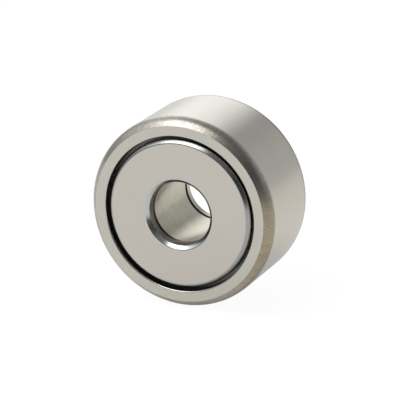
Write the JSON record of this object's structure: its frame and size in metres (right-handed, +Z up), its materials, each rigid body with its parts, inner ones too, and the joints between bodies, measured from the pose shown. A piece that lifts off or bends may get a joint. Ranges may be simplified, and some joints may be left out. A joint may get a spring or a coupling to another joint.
{
  "type": "cam follower",
  "caption": "Yoke-type cam follower: a thick steel outer ring that turns on caged needle rollers round an inner ring held between two side plates.",
  "frame": {"origin": "centre of the bore, halfway between the two side plates' outer faces", "axes": "+Y along the bore from the front side plate to the rear one, +Z up, standing on the tread"},
  "size_m": [0.03, 0.016, 0.03],
  "materials": {
    "ground_steel": "ground bearing steel, satin, fine hairlines round the axis",
    "lapped_plate_steel": "lapped flat faces with polished chamfers and rounded back edges",
    "race_steel": "ground bearing steel, slightly oily",
    "needle_steel": "polished needle rollers",
    "cage_steel": "plain machined steel cage"
  },
  "bodies": {
    "inner_race": {"inner_ring": "race_steel", "front_side_plate": "lapped_plate_steel", "rear_side_plate": "lapped_plate_steel"},
    "outer_ring": {"outer_ring": "ground_steel"},
    "needle_cage": {"roller_cage": "cage_steel"},
    "needle_01": {"needle_roller_01": "needle_steel"},
    "needle_02": {"needle_roller_02": "needle_steel"},
    "needle_03": {"needle_roller_03": "needle_steel"},
    "needle_04": {"needle_roller_04": "needle_steel"},
    "needle_05": {"needle_roller_05": "needle_steel"},
    "needle_06": {"needle_roller_06": "needle_steel"},
    "needle_07": {"needle_roller_07": "needle_steel"},
    "needle_08": {"needle_roller_08": "needle_steel"},
    "needle_09": {"needle_roller_09": "needle_steel"},
    "needle_10": {"needle_roller_10": "needle_steel"},
    "needle_11": {"needle_roller_11": "needle_steel"},
    "needle_12": {"needle_roller_12": "needle_steel"},
    "needle_13": {"needle_roller_13": "needle_steel"},
    "needle_14": {"needle_roller_14": "needle_steel"}
  },
  "joints": [
    {"name": "outer_ring_spin", "type": "hinge", "parent": "inner_race", "child": "outer_ring", "pos_m": [0, 0, 0], "axis": [0, 1, 0], "continuous": true},
    {"name": "needle_cage_spin", "type": "hinge", "parent": "inner_race", "child": "needle_cage", "pos_m": [0, 0, 0], "axis": [0, 1, 0], "continuous": true},
    {"name": "needle_01_spin", "type": "hinge", "parent": "needle_cage", "child": "needle_01", "pos_m": [0, 0, 0.0085], "axis": [0, 1, 0], "continuous": true},
    {"name": "needle_02_spin", "type": "hinge", "parent": "needle_cage", "child": "needle_02", "pos_m": [0.00369, 0, 0.00766], "axis": [0, 1, 0], "continuous": true},
    {"name": "needle_03_spin", "type": "hinge", "parent": "needle_cage", "child": "needle_03", "pos_m": [0.00665, 0, 0.0053], "axis": [0, 1, 0], "continuous": true},
    {"name": "needle_04_spin", "type": "hinge", "parent": "needle_cage", "child": "needle_04", "pos_m": [0.00829, 0, 0.00189], "axis": [0, 1, 0], "continuous": true},
    {"name": "needle_05_spin", "type": "hinge", "parent": "needle_cage", "child": "needle_05", "pos_m": [0.00829, 0, -0.00189], "axis": [0, 1, 0], "continuous": true},
    {"name": "needle_06_spin", "type": "hinge", "parent": "needle_cage", "child": "needle_06", "pos_m": [0.00665, 0, -0.0053], "axis": [0, 1, 0], "continuous": true},
    {"name": "needle_07_spin", "type": "hinge", "parent": "needle_cage", "child": "needle_07", "pos_m": [0.00369, 0, -0.00766], "axis": [0, 1, 0], "continuous": true},
    {"name": "needle_08_spin", "type": "hinge", "parent": "needle_cage", "child": "needle_08", "pos_m": [0, 0, -0.0085], "axis": [0, 1, 0], "continuous": true},
    {"name": "needle_09_spin", "type": "hinge", "parent": "needle_cage", "child": "needle_09", "pos_m": [-0.00369, 0, -0.00766], "axis": [0, 1, 0], "continuous": true},
    {"name": "needle_10_spin", "type": "hinge", "parent": "needle_cage", "child": "needle_10", "pos_m": [-0.00665, 0, -0.0053], "axis": [0, 1, 0], "continuous": true},
    {"name": "needle_11_spin", "type": "hinge", "parent": "needle_cage", "child": "needle_11", "pos_m": [-0.00829, 0, -0.00189], "axis": [0, 1, 0], "continuous": true},
    {"name": "needle_12_spin", "type": "hinge", "parent": "needle_cage", "child": "needle_12", "pos_m": [-0.00829, 0, 0.00189], "axis": [0, 1, 0], "continuous": true},
    {"name": "needle_13_spin", "type": "hinge", "parent": "needle_cage", "child": "needle_13", "pos_m": [-0.00665, 0, 0.0053], "axis": [0, 1, 0], "continuous": true},
    {"name": "needle_14_spin", "type": "hinge", "parent": "needle_cage", "child": "needle_14", "pos_m": [-0.00369, 0, 0.00766], "axis": [0, 1, 0], "continuous": true}
  ],
  "couplings": [
    {"joint": "needle_cage_spin", "follows": "outer_ring_spin", "ratio": 0.58823},
    {"joint": "needle_01_spin", "follows": "outer_ring_spin", "ratio": 2.7451},
    {"joint": "needle_02_spin", "follows": "outer_ring_spin", "ratio": 2.7451},
    {"joint": "needle_03_spin", "follows": "outer_ring_spin", "ratio": 2.7451},
    {"joint": "needle_04_spin", "follows": "outer_ring_spin", "ratio": 2.7451},
    {"joint": "needle_05_spin", "follows": "outer_ring_spin", "ratio": 2.7451},
    {"joint": "needle_06_spin", "follows": "outer_ring_spin", "ratio": 2.7451},
    {"joint": "needle_07_spin", "follows": "outer_ring_spin", "ratio": 2.7451},
    {"joint": "needle_08_spin", "follows": "outer_ring_spin", "ratio": 2.7451},
    {"joint": "needle_09_spin", "follows": "outer_ring_spin", "ratio": 2.7451},
    {"joint": "needle_10_spin", "follows": "outer_ring_spin", "ratio": 2.7451},
    {"joint": "needle_11_spin", "follows": "outer_ring_spin", "ratio": 2.7451},
    {"joint": "needle_12_spin", "follows": "outer_ring_spin", "ratio": 2.7451},
    {"joint": "needle_13_spin", "follows": "outer_ring_spin", "ratio": 2.7451},
    {"joint": "needle_14_spin", "follows": "outer_ring_spin", "ratio": 2.7451}
  ]
}
